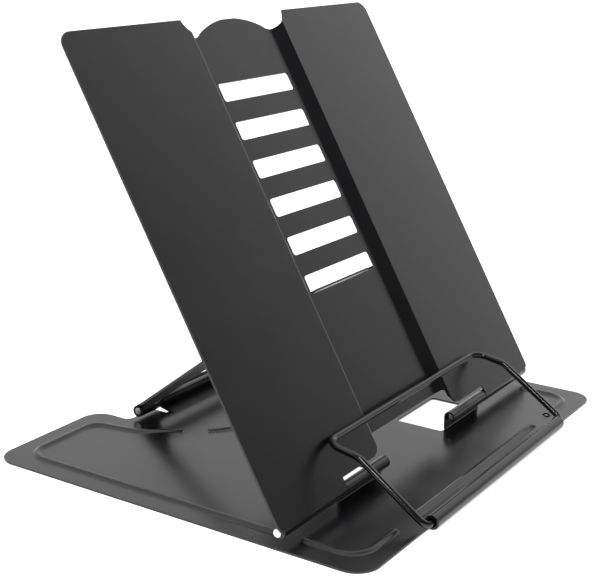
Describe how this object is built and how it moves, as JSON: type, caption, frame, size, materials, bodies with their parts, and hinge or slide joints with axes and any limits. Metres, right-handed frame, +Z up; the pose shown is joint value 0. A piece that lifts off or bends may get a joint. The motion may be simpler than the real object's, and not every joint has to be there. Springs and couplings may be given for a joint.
{
  "type": "photo album stand",
  "caption": "Folding pressed-steel stand that leans a photo album or book back on a slotted panel, with a prop behind and a wire page holder in front.",
  "frame": {"origin": "on the surface that the base stands on, in the middle of the stand's width and depth", "axes": "+X to the stand's right as its reader sees it, -Y towards the reader, +Z up; the panel leans back towards +Y"},
  "size_m": [0.19, 0.1668, 0.1606],
  "materials": {
    "black_powder_coat": "satin black powder coat on sheet steel",
    "black_wire": "glossy black enamel on steel wire",
    "bright_steel": "bright drawn steel pin"
  },
  "bodies": {
    "base": {"base_plate": "black_powder_coat", "left_hinge_pin": "bright_steel", "right_hinge_pin": "bright_steel", "support_hinge_pin": "bright_steel"},
    "panel": {"back_panel": "black_powder_coat"},
    "support": {"support_plate": "black_powder_coat"},
    "holder": {"page_holder": "black_wire"}
  },
  "joints": [
    {"name": "panel_tilt", "type": "hinge", "parent": "base", "child": "panel", "pos_m": [0, -0.04655, 0.0062], "axis": [1, 0, 0], "range_deg": [0, 29.5]},
    {"name": "support_fold", "type": "hinge", "parent": "base", "child": "support", "pos_m": [0, 0.06345, 0.0041], "axis": [1, 0, 0], "range_deg": [0, 37.1]},
    {"name": "holder_swing", "type": "hinge", "parent": "base", "child": "holder", "pos_m": [0, -0.08085, 0.0026], "axis": [1, 0, 0], "range_deg": [0, 89]}
  ],
  "couplings": [
    {"joint": "support_fold", "follows": "panel_tilt", "ratio": 1.257},
    {"joint": "holder_swing", "follows": "panel_tilt", "ratio": 3}
  ]
}
